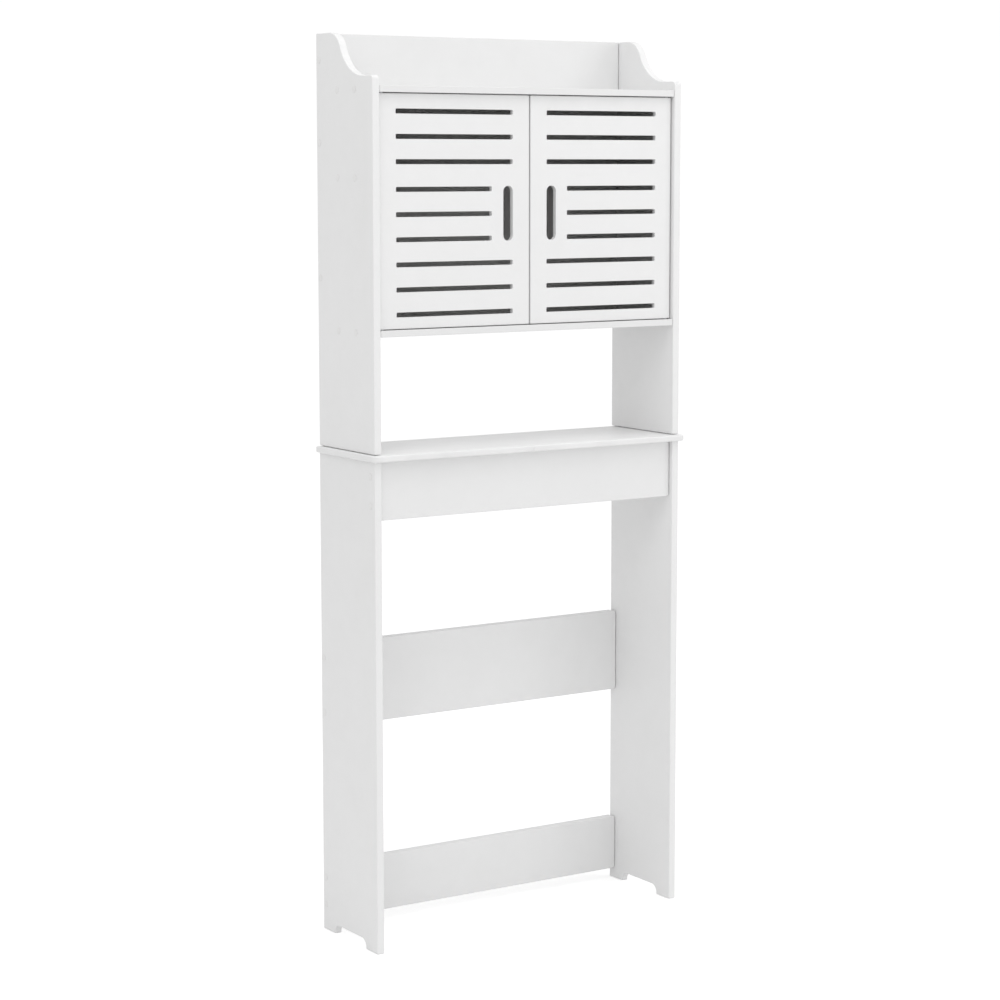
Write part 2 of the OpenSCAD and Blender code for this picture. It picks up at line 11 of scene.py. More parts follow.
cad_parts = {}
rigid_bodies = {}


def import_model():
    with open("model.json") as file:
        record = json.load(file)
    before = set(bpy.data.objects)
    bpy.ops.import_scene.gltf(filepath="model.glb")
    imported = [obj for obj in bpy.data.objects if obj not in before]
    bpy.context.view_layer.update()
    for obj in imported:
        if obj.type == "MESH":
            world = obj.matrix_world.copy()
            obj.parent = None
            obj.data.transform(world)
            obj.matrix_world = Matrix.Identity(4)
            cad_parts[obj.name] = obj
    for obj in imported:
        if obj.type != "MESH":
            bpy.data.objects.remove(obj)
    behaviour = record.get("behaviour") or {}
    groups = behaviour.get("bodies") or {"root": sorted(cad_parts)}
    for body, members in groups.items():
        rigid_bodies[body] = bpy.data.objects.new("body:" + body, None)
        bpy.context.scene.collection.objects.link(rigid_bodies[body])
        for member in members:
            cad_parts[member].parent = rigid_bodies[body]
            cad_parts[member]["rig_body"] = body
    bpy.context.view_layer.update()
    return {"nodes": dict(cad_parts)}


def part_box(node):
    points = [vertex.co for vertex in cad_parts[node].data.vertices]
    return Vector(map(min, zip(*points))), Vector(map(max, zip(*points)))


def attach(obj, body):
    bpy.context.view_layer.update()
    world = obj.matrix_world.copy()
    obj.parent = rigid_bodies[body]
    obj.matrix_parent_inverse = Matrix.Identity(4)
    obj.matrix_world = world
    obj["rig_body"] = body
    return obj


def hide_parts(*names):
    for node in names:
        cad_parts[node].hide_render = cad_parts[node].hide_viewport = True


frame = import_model()

MM = 0.001

# How far each kind of board is rounded along its edges
PANEL_EDGE = 1.8 * MM
SHELF_EDGE = 3.0 * MM
DOOR_EDGE = 1.5 * MM
RAIL_EDGE = 1.5 * MM
LEVEL_EDGE = 0.9 * MM
SLOT_EDGE = 0.7 * MM
WALL_HOLE_EDGE = 0.4 * MM
# A corner of an outline is a little rounder than the edge that runs round it
CORNER_EXTRA = 0.4 * MM
# The corners of the rails, the apron and the level boards are rounder still
RAIL_CORNER_R = 5.0 * MM
LEVEL_CORNER_R = 3.5 * MM
# A level board or the back stops this much short of the side panels, and leaves a fine joint
BUTT_GAP = 0.25 * MM
# The rails and the apron stop short by this, as do the upper side panels above the shelf
OPEN_GAP = 1.1 * MM

# Side panels: foot cut-out, crest and front lip
FOOT_LEN = 44 * MM
FOOT_GAP = 18 * MM
CREST_H = 81 * MM
CREST_UPPER_R = 45 * MM
CREST_LOWER_R = 90 * MM
CREST_FRONT = 34 * MM
LIP_CORNER_R = 8 * MM

# Counter shelf
SHELF_CORNER_R = 11 * MM

# Door slots, from the top down
SLOT_COUNT = 9
SHORT_SLOTS = (3, 4, 5)
SLOT_H = 9 * MM
SLOT_R = 2 * MM
SLOT_PITCH = 45.6 * MM
SLOT_GROUP_GAP = 4.4 * MM
SLOT_TOP = 27.4 * MM
SLOT_SIDE = 36.5 * MM
GRIP_W = 21 * MM
GRIP_H = 102 * MM
GRIP_BRIDGE = 25.5 * MM

# Wall holes in the cabinet back
WALL_SPAN = 400 * MM
WALL_R = 3 * MM
WALL_DROP = 60 * MM

# Fittings: cover caps, corner brackets and strike plates
CAP_HEAD = 0.7 * MM
CAP_STEM_SHARE = 0.4
# The dome stops at this share of its quarter turn and leaves a small flat
CAP_DOME_SHARE = 0.97
CAP_DOME_POINTS = 9
BRACKET_T = 2 * MM
BRACKET_BEND = 3 * MM
BRACKET_EDGE = 0.35 * MM
STRIKE_CORNER = 2.2 * MM
STRIKE_EDGE = 0.35 * MM
STRIKE_HOLE_R = 1.8 * MM

# How many steps an arc takes, and how many points go round a circle
ARC_STEPS = 6
WIDE_ARC_STEPS = 10
GRIP_ARC_STEPS = 16
CREST_ARC_STEPS = 24
EDGE_STEPS = 5
ROUND_POINTS = 40
SMALL_ROUND_POINTS = 24

# Points nearer than this are one point, a triangle of less area than this is left out, and no
# direction is divided by less than this
SAME_POINT = 1e-7
NO_AREA = 1e-14
NO_LENGTH = 1e-12
# Points of a CAD solid's loose triangles that round to one place on this grid are shared
SHARED_GRID = 0.005 * MM

WHITE = (1, 1, 1, 1)
# Lights, each aimed near the middle of the rack: name, place, side of the square, power in watts
RACK_MIDDLE = (0, 0, 0.9)
SOFT_BOXES = (
    ("top_light", (0, -1.2, 4.8), 2.4, 36),
    ("right_light", (3.2, -2.8, 2.4), 2.4, 24),
    ("left_light", (-2.8, -2.2, 3.9), 2.2, 25),
)
# How strongly the white room lights the rack, and how bright the camera sees it
ROOM_LIGHT = 0.79
ROOM_SEEN = 1.02
# How far the floor reaches, and the glow that keeps it pale to the camera
FLOOR_REACH = 30.0
FLOOR_LIFT = 0.3

# Camera: place in metres, turn to the right and tilt down in degrees, lens and sensor in mm
CAMERA_PLACE = (-2.6959, -4.1614, 1.4687)
CAMERA_YAW = 33.145
CAMERA_PITCH = 6.891
CAMERA_LENS = 93.22
CAMERA_SENSOR = 36.0
CAMERA_SHIFT = (-0.0137, -0.025)
CAMERA_REACH = 200.0


# ---- outlines ----

def rounded_outline(corners, radii, steps=ARC_STEPS):
    """A closed outline, anticlockwise, with each corner turned on an arc.
    The arc starts before the corner by the radius times the tangent of half the turn. At a share
    of the arc, the outward direction is that of the incoming side turned by this share of the
    turn, and the point is the arc's centre plus the radius times that direction, or less it in a
    hollow corner."""
    p = np.array(corners, float)
    r = np.broadcast_to(np.array(radii, float), len(p))
    came = p - np.roll(p, 1, 0)
    came /= np.linalg.norm(came, axis=1)[:, None]
    goes = np.roll(came, -1, 0)
    turn = np.arctan2(came[:, 0] * goes[:, 1] - came[:, 1] * goes[:, 0], (came * goes).sum(1))
    start = p - came * (r * np.tan(np.abs(turn) / 2))[:, None]
    outward = np.stack([came[:, 1], -came[:, 0]], 1)
    signed = (r * np.sign(turn))[:, None]
    centre = start - outward * signed
    angle = turn[:, None] * np.linspace(0, 1, steps + 1)
    c, s = np.cos(angle), np.sin(angle)
    ox, oy = outward[:, :1], outward[:, 1:]
    away = np.stack([ox * c - oy * s, ox * s + oy * c], 2)
    points = (centre[:, None] + away * signed[:, None]).reshape(-1, 2)
    away = away.reshape(-1, 2)
    fresh = np.linalg.norm(points - np.roll(points, 1, 0), axis=1) > SAME_POINT
    return points[fresh], away[fresh]


def rectangle(low, high, radius, steps=ARC_STEPS):
    """A rounded rectangle between two opposite corners."""
    corners = [(low[0], low[1]), (high[0], low[1]), (high[0], high[1]), (low[0], high[1])]
    return rounded_outline(corners, radius, steps)


def circle(x, y, radius, count=ROUND_POINTS):
    """Points at equal angles round a centre, with their outward directions."""
    a = np.arange(count) / count * 2 * math.pi
    away = np.stack([np.cos(a), np.sin(a)], 1)
    return np.array([x, y]) + away * radius, away


def as_hole(outline):
    """The same outline turned round, because the board lies outside it."""
    points, away = outline
    return points[::-1], -away[::-1]


def edge_profile(thickness, radius, steps=EDGE_STEPS):
    """From one face to the other round a board's edge: a quarter circle, the straight wall and a
    quarter circle. Columns: inset from the outline, depth, share of the outward direction in the
    normal, share of the face direction, and how far the point belongs to the edge (0 on the
    faces, 1 on the straight wall)."""
    a = np.linspace(0, math.pi / 2, steps + 1)
    inset = radius * (1 - np.sin(a))
    depth = radius * (1 - np.cos(a))
    first = np.stack([inset, depth, np.sin(a), -np.cos(a), np.sin(a)], 1)
    last = first[::-1] * [1, -1, 1, -1, 1] + [0, thickness, 0, 0, 0]
    return np.concatenate([first, last])


# ---- meshes ----

def make_mesh(name, verts, faces, normals=None, edge_shares=None):
    """A new smooth-shaded object at the origin, from whole arrays of points and faces."""
    mesh = bpy.data.meshes.new(name)
    mesh.from_pydata(verts, [], faces)
    mesh.update()
    mesh.polygons.foreach_set("use_smooth", np.ones(len(mesh.polygons), bool))
    if edge_shares is not None:
        mark = mesh.attributes.new("edge_share", "FLOAT", "POINT")
        mark.data.foreach_set("value", np.asarray(edge_shares, np.float32))
    if normals is not None:
        mesh.normals_split_custom_set_from_vertices(np.asarray(normals, float))
    obj = bpy.data.objects.new(name, mesh)
    bpy.context.scene.collection.objects.link(obj)
    return obj


def fill(loops):
    """Triangles, anticlockwise, between an outline and its holes; indices count through all the
    loops in turn."""
    flat = np.concatenate(loops)
    made = tessellate_polygon([[Vector((x, y, 0)) for x, y in loop] for loop in loops])
    tri = np.array(made, int)
    a, b, c = flat[tri[:, 0]], flat[tri[:, 1]], flat[tri[:, 2]]
    area = (b - a)[:, 0] * (c - a)[:, 1] - (b - a)[:, 1] * (c - a)[:, 0]
    tri[area < 0] = tri[area < 0][:, ::-1]
    return tri[np.abs(area) > NO_AREA]


def board_arrays(low, high, axis, outline, holes, edge, hole_edge):
    """Points, faces, normals and edge shares of a board that lies across an axis, between low and
    high along it. Every closed outline is carried round the edge profile: a point is the outline
    less the outward direction times the inset, at the profile's depth. Flat faces fill the rest."""
    u, v = [k for k in range(3) if k != axis]
    loops = [(outline, edge)] + [(as_hole(h), hole_edge) for h in holes]
    verts, normals, edge_shares, quads, starts, rings = [], [], [], [], [], []
    base = 0
    for (points, away), radius in loops:
        prof = edge_profile(high - low, radius)
        n, m = len(points), len(prof)
        at = np.zeros((n, m, 3))
        facing = np.zeros((n, m, 3))
        at[:, :, [u, v]] = points[:, None] - away[:, None] * prof[:, :1]
        at[:, :, axis] = low + prof[:, 1]
        facing[:, :, [u, v]] = away[:, None] * prof[:, 2:3]
        facing[:, :, axis] = prof[:, 3]
        i = np.arange(n)[:, None]
        j = np.arange(m - 1)
        nxt = (i + 1) % n
        ring = np.stack([i * m + j, nxt * m + j, nxt * m + j + 1, i * m + j + 1], 2)
        quads.append(base + ring.reshape(-1, 4))
        verts.append(at.reshape(-1, 3))
        normals.append(facing.reshape(-1, 3))
        edge_shares.append(np.tile(prof[:, 4], n))
        rings.append(at[:, 0][:, [u, v]])
        starts.append(base + np.arange(n) * m)
        base += n * m
    tri = fill(rings)
    start = np.concatenate(starts)
    faces = np.concatenate(quads)
    lower, upper = start[tri][:, ::-1], start[tri] + m - 1
    if axis == 1:
        faces, lower, upper = faces[:, ::-1], lower[:, ::-1], upper[:, ::-1]
    all_faces = faces.tolist() + lower.tolist() + upper.tolist()
    return np.concatenate(verts), all_faces, np.concatenate(normals), np.concatenate(edge_shares)


def stand_in(obj, node):
    """The piece rides where the CAD node rides, and stands for it."""
    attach(obj, frame["nodes"][node]["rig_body"])
    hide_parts(node)
    return obj


def board(node, axis, outline, edge, holes=(), hole_edge=SLOT_EDGE):
    """The finished board that stands for a CAD board, between the CAD board's two faces."""
    low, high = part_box(node)
    arrays = board_arrays(low[axis], high[axis], axis, outline, holes, edge, hole_edge)
    return stand_in(make_mesh(node + "_finished", *arrays), node)


def flat_outline(node, axis, corner, gap=0.0):
    """The CAD board's own rectangle across an axis, less a gap at each of its ends along X."""
    low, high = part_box(node)
    u, v = [k for k in range(3) if k != axis]
    return rectangle((low[u] + gap, low[v]), (high[u] - gap, high[v]), corner)


def solids(node):
    """Low and high corners of each separate solid of a CAD node: points at one place share a
    number, and the lowest number spreads over every triangle until nothing changes."""
    mesh = frame["nodes"][node].data
    mesh.calc_loop_triangles()
    co = np.empty(len(mesh.vertices) * 3)
    mesh.vertices.foreach_get("co", co)
    co = co.reshape(-1, 3)
    tri = np.empty(len(mesh.loop_triangles) * 3, np.int32)
    mesh.loop_triangles.foreach_get("vertices", tri)
    grid = np.round(co / SHARED_GRID).astype(np.int64)
    place = np.unique(grid, axis=0, return_inverse=True)[1].reshape(-1)
    tri = place[tri].reshape(-1, 3)
    label = np.arange(place.max() + 1)
    while True:
        least = label[tri].min(1)
        wider = label.copy()
        np.minimum.at(wider, tri.ravel(), np.repeat(least, 3))
        if (wider == label).all():
            break
        label = wider
    which = label[place]
    found = [co[which == k] for k in np.unique(which)]
    return [(Vector(c.min(0)), Vector(c.max(0))) for c in found]


def merged(name, parts):
    """One object from several sets of points, faces, normals and edge shares."""
    verts, part_faces, normals, edge_shares = zip(*parts)
    faces = []
    base = 0
    for points, own_faces in zip(verts, part_faces):
        faces += [[base + k for k in face] for face in own_faces]
        base += len(points)
    joined = [np.concatenate(rows) for rows in (normals, edge_shares)]
    return make_mesh(name, np.concatenate(verts), faces, *joined)


# ---- boards ----

def lower_side_panel(node):
    """Side panel below the counter shelf: a rectangle whose lower edge steps up between the feet,
    the two inner corners of the step hollow."""
    low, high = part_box(node)
    y0, y1, z0, z1 = low.y, high.y, low.z, high.z
    corners = [
        (y0, z0), (y0 + FOOT_LEN, z0), (y0 + FOOT_LEN, z0 + FOOT_GAP),
        (y1 - FOOT_LEN, z0 + FOOT_GAP), (y1 - FOOT_LEN, z0), (y1, z0), (y1, z1), (y0, z1),
    ]
    small = PANEL_EDGE + CORNER_EXTRA
    hollow = FOOT_GAP - small
    radii = [small, small, hollow, hollow, small, small, small, small]
    return board(node, 0, rounded_outline(corners, radii, WIDE_ARC_STEPS), PANEL_EDGE)


def upper_side_panel(node):
    """Side panel above the counter shelf: the top edge drops from the crest to the front lip in
    an S of two arcs that meet on one slope. The cosine of the slope's angle is 1 less the drop
    over the sum of the two radii."""
    low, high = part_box(node)
    y0, y1, z0, z1 = low.y, high.y, low.z + OPEN_GAP, high.z
    lip = z1 - CREST_H
    slope = math.acos(1 - CREST_H / (CREST_UPPER_R + CREST_LOWER_R))
    half = math.tan(slope / 2)
    foot = y0 + CREST_FRONT + CREST_LOWER_R * half
    head = foot + CREST_H / math.tan(slope)
    corners = [(y0, z0), (y1, z0), (y1, z1), (head, z1), (foot, lip), (y0, lip)]
    small = PANEL_EDGE + CORNER_EXTRA
    radii = [small, small, small, CREST_UPPER_R, CREST_LOWER_R, LIP_CORNER_R]
    return board(node, 0, rounded_outline(corners, radii, CREST_ARC_STEPS), PANEL_EDGE)


def counter_shelf(node):
    """The counter shelf: its two front corners are wide arcs, its rear ones small."""
    low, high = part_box(node)
    corners = [(low.x, low.y), (high.x, low.y), (high.x, high.y), (low.x, high.y)]
    small = SHELF_EDGE + CORNER_EXTRA
    radii = [SHELF_CORNER_R, SHELF_CORNER_R, small, small]
    return board(node, 2, rounded_outline(corners, radii, WIDE_ARC_STEPS), SHELF_EDGE)


def plain_board(node, axis, edge, corner, gap):
    """A level board, a rail or the apron: a rectangle with rounded edges between two panels."""
    return board(node, axis, flat_outline(node, axis, corner, gap), edge)


def back_board(node, top_node):
    """The cabinet's back, with its two wall holes."""
    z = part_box(top_node)[0].z - WALL_DROP
    holes = [circle(side * WALL_SPAN / 2, z, WALL_R) for side in (-1, 1)]
    outline = flat_outline(node, 1, LEVEL_EDGE + CORNER_EXTRA, BUTT_GAP)
    return board(node, 1, outline, LEVEL_EDGE, holes, WALL_HOLE_EDGE)


def door(node, side):
    """A door with its nine vent slots, the middle three cut short beside the upright finger slot.
    side is -1 for the left door and 1 for the right one, whose slots are mirrored."""
    low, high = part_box(node)
    hung, free = (low.x, high.x) if side < 0 else (high.x, low.x)
    inner = free + side * SLOT_SIDE
    outer = hung - side * SLOT_SIDE
    holes, tops = [], []
    for i in range(SLOT_COUNT):
        group_gap = SLOT_GROUP_GAP if i >= SHORT_SLOTS[0] else 0
        top = high.z - SLOT_TOP - i * SLOT_PITCH - group_gap
        end = inner + side * (GRIP_W + GRIP_BRIDGE) if i in SHORT_SLOTS else inner
        left, right = sorted((outer, end))
        holes.append(rectangle((left, top - SLOT_H), (right, top), SLOT_R))
        tops.append(top)
    middle = (tops[SHORT_SLOTS[0]] + tops[SHORT_SLOTS[-1]] - SLOT_H) / 2
    left, right = sorted((inner, inner + side * GRIP_W))
    low_end, high_end = middle - GRIP_H / 2, middle + GRIP_H / 2
    grip = rectangle((left, low_end), (right, high_end), GRIP_W / 2, GRIP_ARC_STEPS)
    outline = flat_outline(node, 1, DOOR_EDGE + CORNER_EXTRA)
    return board(node, 1, outline, DOOR_EDGE, holes + [grip])


# ---- fittings ----

def turned(low, high, axis, way, profile):
    """A turned shape: the profile's (share of radius, height) points are carried round the axis.
    The radius comes from the solid's box, and heights are measured the given way from its end."""
    u, v = [k for k in range(3) if k != axis]
    centre = (np.array(low) + np.array(high)) / 2
    radius = (high[u] - low[u]) / 2
    prof = np.array(profile, float)
    step = np.gradient(prof * [radius, 1], axis=0)
    across = np.stack([step[:, 1], -step[:, 0]], 1)
    across /= np.maximum(np.linalg.norm(across, axis=1), NO_LENGTH)[:, None]
    count = ROUND_POINTS
    a = np.arange(count) / count * 2 * math.pi
    ring = np.stack([np.cos(a), np.sin(a)], 1)
    at = np.zeros((count, len(prof), 3))
    facing = np.zeros_like(at)
    at[:, :, [u, v]] = centre[[u, v]] + ring[:, None] * (prof[:, :1] * radius)
    base = low[axis] if way > 0 else high[axis]
    at[:, :, axis] = base + way * prof[:, 1]
    facing[:, :, [u, v]] = ring[:, None] * across[:, :1]
    facing[:, :, axis] = way * across[:, 1]
    m = len(prof)
    i = np.arange(count)[:, None]
    j = np.arange(m - 1)
    nxt = (i + 1) % count
    quads = np.stack([i * m + j, nxt * m + j, nxt * m + j + 1, i * m + j + 1], 2).reshape(-1, 4)
    verts = at.reshape(-1, 3)
    faces = quads.tolist()
    faces.append((np.arange(count) * m)[::-1].tolist())
    faces.append((np.arange(count) * m + m - 1).tolist())
    if (way > 0) == (axis == 1):
        faces = [f[::-1] for f in faces]
    return verts, faces, facing.reshape(-1, 3), np.zeros(len(verts))


def cover_caps(node):
    """Caps over the screw heads: a stem in the screw hole and a thin head whose top is a shallow
    dome. At an angle of the head's quarter turn, the radius is the full one times the cosine and
    the height is the head's own times the square root of the sine."""
    parts = []
    t = np.linspace(0.0, CAP_DOME_SHARE * math.pi / 2, CAP_DOME_POINTS)
    for low, high in solids(node):
        seat = high.x - low.x - CAP_HEAD
        stem = [(CAP_STEM_SHARE, 0), (CAP_STEM_SHARE, seat)]
        dome = np.stack([np.cos(t), seat + CAP_HEAD * np.sqrt(np.sin(t))], 1).tolist()
        parts.append(turned(low, high, 0, -1 if low.x < 0 else 1, stem + dome))
    return stand_in(merged(node + "_finished", parts), node)


def corner_brackets(node):
    """Steel angles: an L outline with a wide outer bend and a tight inner one, carried along the
    bracket's width. Its corner lies against the shelf and against the board it is screwed to."""
    parts = []
    tip = 2 * BRACKET_EDGE / 3
    for low, high in solids(node):
        axis = 0 if high.x - low.x < high.y - low.y else 1
        u = 1 - axis
        way = -1 if axis == 1 and low.x > 0 else 1
        corner = low[u] if way > 0 else high[u]
        leg = high[u] - low[u]
        steps = [
            (0, 0), (0, -leg), (BRACKET_T, -leg), (BRACKET_T, -BRACKET_T), (leg, -BRACKET_T),
            (leg, 0),
        ]
        radii = [BRACKET_BEND, tip, tip, BRACKET_BEND - BRACKET_T, tip, tip]
        outline = [(corner + way * across, high.z + down) for across, down in steps]
        if way < 0:
            outline, radii = outline[::-1], radii[::-1]
        shape = rounded_outline(outline, radii)
        parts.append(board_arrays(low[axis], high[axis], axis, shape, [], BRACKET_EDGE, 0))
    return stand_in(merged(node + "_finished", parts), node)


def strike_plate(node, screw_node):
    """A strike plate: a thin rounded rectangle with one hole under its screw."""
    low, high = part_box(node)
    screw_low, screw_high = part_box(screw_node)
    x, z = (screw_low.x + screw_high.x) / 2, (screw_low.z + screw_high.z) / 2
    outline = rectangle((low.x, low.z), (high.x, high.z), STRIKE_CORNER)
    hole = circle(x, z, STRIKE_HOLE_R, SMALL_ROUND_POINTS)
    return board(node, 1, outline, STRIKE_EDGE, [hole], STRIKE_EDGE)


# ---- materials ----

def grey(value, warm=0.0):
    """A near-neutral colour."""
    return (value * (1 + warm), value, value * (1 - warm), 1.0)


def times(colour, share):
    """A colour times a share, or times one share for each of its three channels."""
    shares = np.broadcast_to(share, 3).tolist()
    return tuple(c * k for c, k in zip(colour, shares)) + (1.0,)


def socket_value(tree, socket, value):
    """Links a socket, or sets it to a plain value."""
    if isinstance(value, bpy.types.NodeSocket):
        tree.links.new(value, socket)
    elif hasattr(socket.default_value, "__len__") and not hasattr(value, "__len__"):
        socket.default_value = [value] * len(socket.default_value)
    else:
        socket.default_value = value


def add_node(tree, kind, inputs=None, **settings):
    """A shader node with its settings, and its inputs by name or number."""
    made = tree.nodes.new("ShaderNode" + kind)
    for key, value in settings.items():
        setattr(made, key, value)
    for key, value in (inputs or {}).items():
        socket_value(tree, made.inputs[key], value)
    return made


def maths(tree, operation, a, b=0.0, c=0.0):
    """One step of arithmetic."""
    return add_node(tree, "Math", {0: a, 1: b, 2: c}, operation=operation).outputs[0]


def spread(tree, value, given, wanted=(0.0, 1.0)):
    """Maps the given range to the wanted one and stops at both ends."""
    ends = {"From Min": given[0], "From Max": given[1], "To Min": wanted[0], "To Max": wanted[1]}
    return add_node(tree, "MapRange", {"Value": value, **ends}).outputs["Result"]


def object_place(tree):
    """A point's place in metres, in the piece's own frame."""
    return add_node(tree, "TexCoord").outputs["Object"]


def blend_colour(tree, share, first, second):
    """Mixes two colours. A Mix node takes its colours at sockets 6 and 7 and gives one at 2."""
    made = add_node(tree, "Mix", data_type="RGBA")
    socket_value(tree, made.inputs[0], share)
    socket_value(tree, made.inputs[6], first)
    socket_value(tree, made.inputs[7], second)
    return made.outputs[2]


def noise(tree, where, scale, detail=2.0, rough=0.5):
    """Noise at a scale in cells per metre."""
    made = add_node(
        tree, "TexNoise", {"Vector": where, "Scale": scale, "Detail": detail, "Roughness": rough}
    )
    return made.outputs["Fac"]


def stretched(tree, where, scale):
    """A place scaled by its own factor along each axis, for a pattern that runs one way."""
    return add_node(tree, "Mapping", {"Vector": where, "Scale": scale}).outputs[0]


def new_group(name, inputs, outputs):
    """An empty shader node group with named inputs and outputs."""
    tree = bpy.data.node_groups.new(name, "ShaderNodeTree")
    for label, kind, value in inputs:
        made = tree.interface.new_socket(label, in_out="INPUT", socket_type="NodeSocket" + kind)
        made.default_value = value
    for label, kind in outputs:
        tree.interface.new_socket(label, in_out="OUTPUT", socket_type="NodeSocket" + kind)
    entry = tree.nodes.new("NodeGroupInput")
    leave = tree.nodes.new("NodeGroupOutput")
    return tree, entry.outputs, leave.inputs


def make_film_group():
    """Sprayed film: a broad drift towards the Shade colour, small clouds, fine orange peel over a
    longer ripple, and rounded edges that take the Edge colour in patches, as painted shade and
    wear, and are rubbed a little smoother."""
    cloud_size, rub_size, ripple_size = 26.0, 14.0, 90.0
    drift_part, ripple_part = 0.6, 0.6
    cloud_dulls, rub_smooths = 0.09, -0.07
    tree, given, out = new_group(
        "sprayed_film",
        [
            ("Colour", "Color", grey(0.8)),
            ("Shade", "Color", grey(0.78)),
            ("Edge", "Color", grey(0.85)),
            ("Roughness", "Float", 0.4),
            ("Peel Size", "Float", 420.0),
            ("Drift Size", "Float", 2.2),
        ],
        [("Colour", "Color"), ("Roughness", "Float"), ("Height", "Float")],
    )
    where = object_place(tree)
    drift = noise(tree, where, given["Drift Size"], detail=3.0, rough=0.55)
    drift_share = spread(tree, drift, (0.32, 0.68))
    cloud = noise(tree, where, cloud_size, detail=4.0, rough=0.6)
    cloud_share = spread(tree, cloud, (0.35, 0.7), (0.0, 0.5))
    share = maths(tree, "MULTIPLY_ADD", drift_share, drift_part, cloud_share)
    film = blend_colour(tree, share, given["Colour"], given["Shade"])
    edge = add_node(tree, "Attribute", attribute_name="edge_share").outputs["Fac"]
    patchy = spread(tree, noise(tree, where, rub_size), (0.3, 0.7), (0.35, 1.0))
    # Painted shade and wear: the rounded edges take the Edge colour in patches. The lacquers set it
    # darker, which tones down the highlight on the rounding, and rubbing makes the same patches
    # smoother.
    edge_wear_and_shade = maths(tree, "MULTIPLY", edge, patchy)
    tree.links.new(blend_colour(tree, edge_wear_and_shade, film, given["Edge"]), out["Colour"])
    peel = noise(tree, where, given["Peel Size"])
    ripple = noise(tree, where, ripple_size)
    height = maths(tree, "MULTIPLY_ADD", ripple, ripple_part, peel)
    tree.links.new(height, out["Height"])
    cloudy = spread(tree, cloud, (0.3, 0.7), (-0.5, 0.5))
    dull = maths(tree, "MULTIPLY_ADD", cloudy, cloud_dulls, given["Roughness"])
    rubbed = maths(tree, "MULTIPLY_ADD", edge_wear_and_shade, rub_smooths, dull)
    tree.links.new(rubbed, out["Roughness"])
    return tree


def make_marks_group():
    """Handling marks: soft smudges and level wiping streaks, as one mask."""
    streak_scale = (6.0, 6.0, 150.0)
    streak_part = 0.5
    tree, given, out = new_group(
        "handling_marks",
        [("Size", "Float", 9.0), ("Amount", "Float", 1.0)],
        [("Mask", "Float")],
    )
    where = object_place(tree)
    soft = noise(tree, where, given["Size"], detail=3.0, rough=0.6)
    smudge = spread(tree, soft, (0.52, 0.72))
    long_way = stretched(tree, where, streak_scale)
    wiped = noise(tree, long_way, scale=1.0, detail=3.0, rough=0.6)
    streak = spread(tree, wiped, (0.5, 0.75))
    both = maths(tree, "MULTIPLY_ADD", streak, streak_part, smudge)
    tree.links.new(maths(tree, "MULTIPLY", both, given["Amount"]), out["Mask"])
    return tree


def make_drawn_group():
    """Drawn and plated metal: fine lines along one way over a soft mottle of crystals."""
    mottle_size, lines_dull = 260.0, 0.16
    tree, given, out = new_group(
        "drawn_metal",
        [
            ("Colour", "Color", (0.62, 0.63, 0.65, 1)),
            ("Tarnish", "Color", grey(0.5)),
            ("Roughness", "Float", 0.3),
            ("Grain", "Vector", (80.0, 80.0, 2400.0)),
        ],
        [("Colour", "Color"), ("Roughness", "Float"), ("Height", "Float")],
    )
    where = object_place(tree)
    drawn = stretched(tree, where, given["Grain"])
    lines = noise(tree, drawn, scale=1.0, detail=3.0, rough=0.6)
    crystals = noise(tree, where, mottle_size, detail=3.0, rough=0.6)
    mottle = spread(tree, crystals, (0.35, 0.65))
    tree.links.new(blend_colour(tree, mottle, given["Colour"], given["Tarnish"]), out["Colour"])
    dull = maths(tree, "MULTIPLY_ADD", lines, lines_dull, given["Roughness"])
    tree.links.new(dull, out["Roughness"])
    tree.links.new(lines, out["Height"])
    return tree


FILM = make_film_group()
MARKS = make_marks_group()
DRAWN = make_drawn_group()


def new_material(name, **fixed):
    """A material with one Principled shader whose fixed sockets are set directly."""
    made = bpy.data.materials.new(name)
    made.use_nodes = True
    tree = made.node_tree
    shader = tree.nodes["Principled BSDF"]
    for key, value in fixed.items():
        shader.inputs[key.replace("_", " ")].default_value = value
    return made, tree, shader


def use_group(tree, group, **inputs):
    """Places a node group and sets its inputs."""
    made = add_node(tree, "Group", node_tree=group)
    for key, value in inputs.items():
        socket_value(tree, made.inputs[key.replace("_", " ")], value)
    return made.outputs


def bump(tree, height, strength, distance):
    """A bump from a height that runs from 0 to 1 over the given distance."""
    inputs = {"Height": height, "Strength": strength, "Distance": distance}
    return add_node(tree, "Bump", inputs).outputs["Normal"]


def lacquer(name, colour, rough, drift=2.2, marks=1.0, edge=0.98):
    """White satin lacquer sprayed on fibreboard, with the grey given for the board and its own
    amount of handling; on some boards that grey paints light or shade. The rounded edges take the
    faces'
    colour times the edge value: painted shade that tones down their highlight, over patchy rubbed
    wear."""
    drift_shade, smudge_tint = 0.972, (0.955, 0.95, 0.94)
    smudge_share, smudge_dulls = 0.16, 0.05
    made, tree, shader = new_material(name, Specular_IOR_Level=0.42)
    film = use_group(
        tree, FILM, Colour=colour, Shade=times(colour, drift_shade), Edge=times(colour, edge),
        Roughness=rough, Drift_Size=drift,
    )
    mask = use_group(tree, MARKS, Amount=marks)["Mask"]
    share = maths(tree, "MULTIPLY", mask, smudge_share)
    tone = blend_colour(tree, share, film["Colour"], times(colour, smudge_tint))
    dull = maths(tree, "MULTIPLY_ADD", mask, smudge_dulls, film["Roughness"])
    finish = bump(tree, film["Height"], strength=0.35, distance=0.05 * MM)
    tree.links.new(tone, shader.inputs["Base Color"])
    tree.links.new(dull, shader.inputs["Roughness"])
    tree.links.new(finish, shader.inputs["Normal"])
    return made


